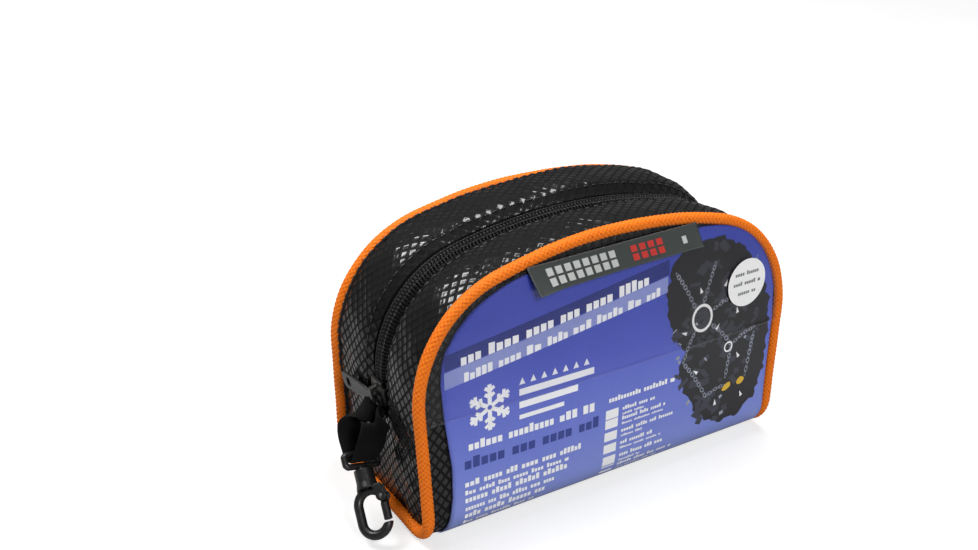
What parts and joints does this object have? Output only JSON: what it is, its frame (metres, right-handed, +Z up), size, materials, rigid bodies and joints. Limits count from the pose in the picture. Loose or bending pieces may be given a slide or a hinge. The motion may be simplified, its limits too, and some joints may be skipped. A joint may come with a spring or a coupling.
{
  "type": "zippered carry pouch of slip-on ice cleats",
  "caption": "Arched zip-top pouch of black diamond net with orange piping, clear front pocket, wrap card and swivel hook, holding a pair of packed slip-on ice cleats",
  "frame": {"origin": "middle of the footprint, on the surface the pouch stands on", "axes": "+X to the right along the pouch, +Y from the front face to the back, +Z up"},
  "size_m": [0.1675, 0.0674, 0.0985],
  "materials": {
    "net_fabric": "black diamond net laminated over a glossy black lining",
    "zip_tape": "woven black polyester zip tape",
    "zip_coil": "black nylon coil with a soft sheen",
    "dark_metal": "dark painted die-cast metal",
    "orange_cord": "braided orange polyester cord",
    "printed_card": "blue printed card with a satin coat",
    "clear_film": "clear glossy flexible film",
    "label_weave": "dark grey-green woven label",
    "white_paper": "white uncoated paper",
    "black_thread": "black polyester thread",
    "black_webbing": "ribbed black polypropylene webbing",
    "hook_black": "black moulded acetal, satin to glossy",
    "spring_steel": "bright spring steel",
    "elastomer": "black elastomer, matt",
    "steel": "stainless steel, tumbled"
  },
  "bodies": {
    "pouch": {"wrap_panel": "net_fabric", "gusset_end_left": "net_fabric", "gusset_end_right": "net_fabric", "gusset_strip_rear": "net_fabric", "zipper_tape_rear": "zip_tape", "zipper_coil_rear": "zip_coil", "zipper_tape_ends": "zip_tape", "zipper_coil_ends": "zip_coil", "zipper_end_stop": "dark_metal", "piping_rear": "orange_cord", "card_wrap": "printed_card", "webbing_bartack": "black_thread", "instruction_leaflet": "white_paper", "harness_a": "elastomer", "eyelet_rings_a": "steel", "chain_links_a": "steel", "forefoot_plate_a": "steel", "heel_plate_a": "steel", "harness_b": "elastomer", "eyelet_rings_b": "steel", "chain_links_b": "steel", "forefoot_plate_b": "steel", "heel_plate_b": "steel"},
    "front_flap": {"front_panel": "net_fabric", "gusset_strip_front": "net_fabric", "zipper_tape_front": "zip_tape", "zipper_coil_front": "zip_coil", "piping_front": "orange_cord", "card_header": "printed_card", "window_film": "clear_film", "woven_label": "label_weave", "round_sticker": "white_paper"},
    "slider": {"zipper_slider": "dark_metal"},
    "pull": {"zipper_pull": "dark_metal"},
    "webbing": {"webbing_loop": "black_webbing"},
    "swivel_eye": {"hook_swivel_eye": "hook_black"},
    "hook": {"hook_body": "hook_black", "hook_gate_pin": "spring_steel", "hook_gate_spring": "spring_steel"},
    "gate": {"hook_gate": "hook_black"}
  },
  "joints": [
    {"name": "flap_open", "type": "hinge", "parent": "pouch", "child": "front_flap", "pos_m": [0, -0.03195, 0.042], "axis": [1, 0, 0], "range_deg": [0, 60]},
    {"name": "slider_travel", "type": "hinge", "parent": "pouch", "child": "slider", "pos_m": [-0.035, 0, 0.052], "axis": [0, 1, 0], "range_deg": [0, 75]},
    {"name": "pull_swing", "type": "hinge", "parent": "slider", "child": "pull", "pos_m": [-0.07449, 0, 0.04104], "axis": [0.9789, 0, 0.2045], "range_deg": [0, 42]},
    {"name": "webbing_swing", "type": "hinge", "parent": "pouch", "child": "webbing", "pos_m": [-0.0744, 0, 0.038], "axis": [0, 1, 0], "range_deg": [0, 68]},
    {"name": "eye_tilt", "type": "hinge", "parent": "webbing", "child": "swivel_eye", "pos_m": [-0.08225, -0.00132, 0.02308], "axis": [0.9748, 0.0213, -0.2221], "range_deg": [-6, 40], "stiffness_Nm_per_rad": 0.003},
    {"name": "hook_swivel", "type": "hinge", "parent": "swivel_eye", "child": "hook", "pos_m": [-0.08356, -0.00863, 0.01662], "axis": [-0.1332, -0.7428, -0.6562], "continuous": true},
    {"name": "gate_open", "type": "hinge", "parent": "hook", "child": "gate", "pos_m": [-0.08091, -0.01526, 0.01459], "axis": [0.6317, 0.4465, -0.6337], "range_deg": [0, 24], "stiffness_Nm_per_rad": 0.0006, "springref_deg": -11.46}
  ]
}
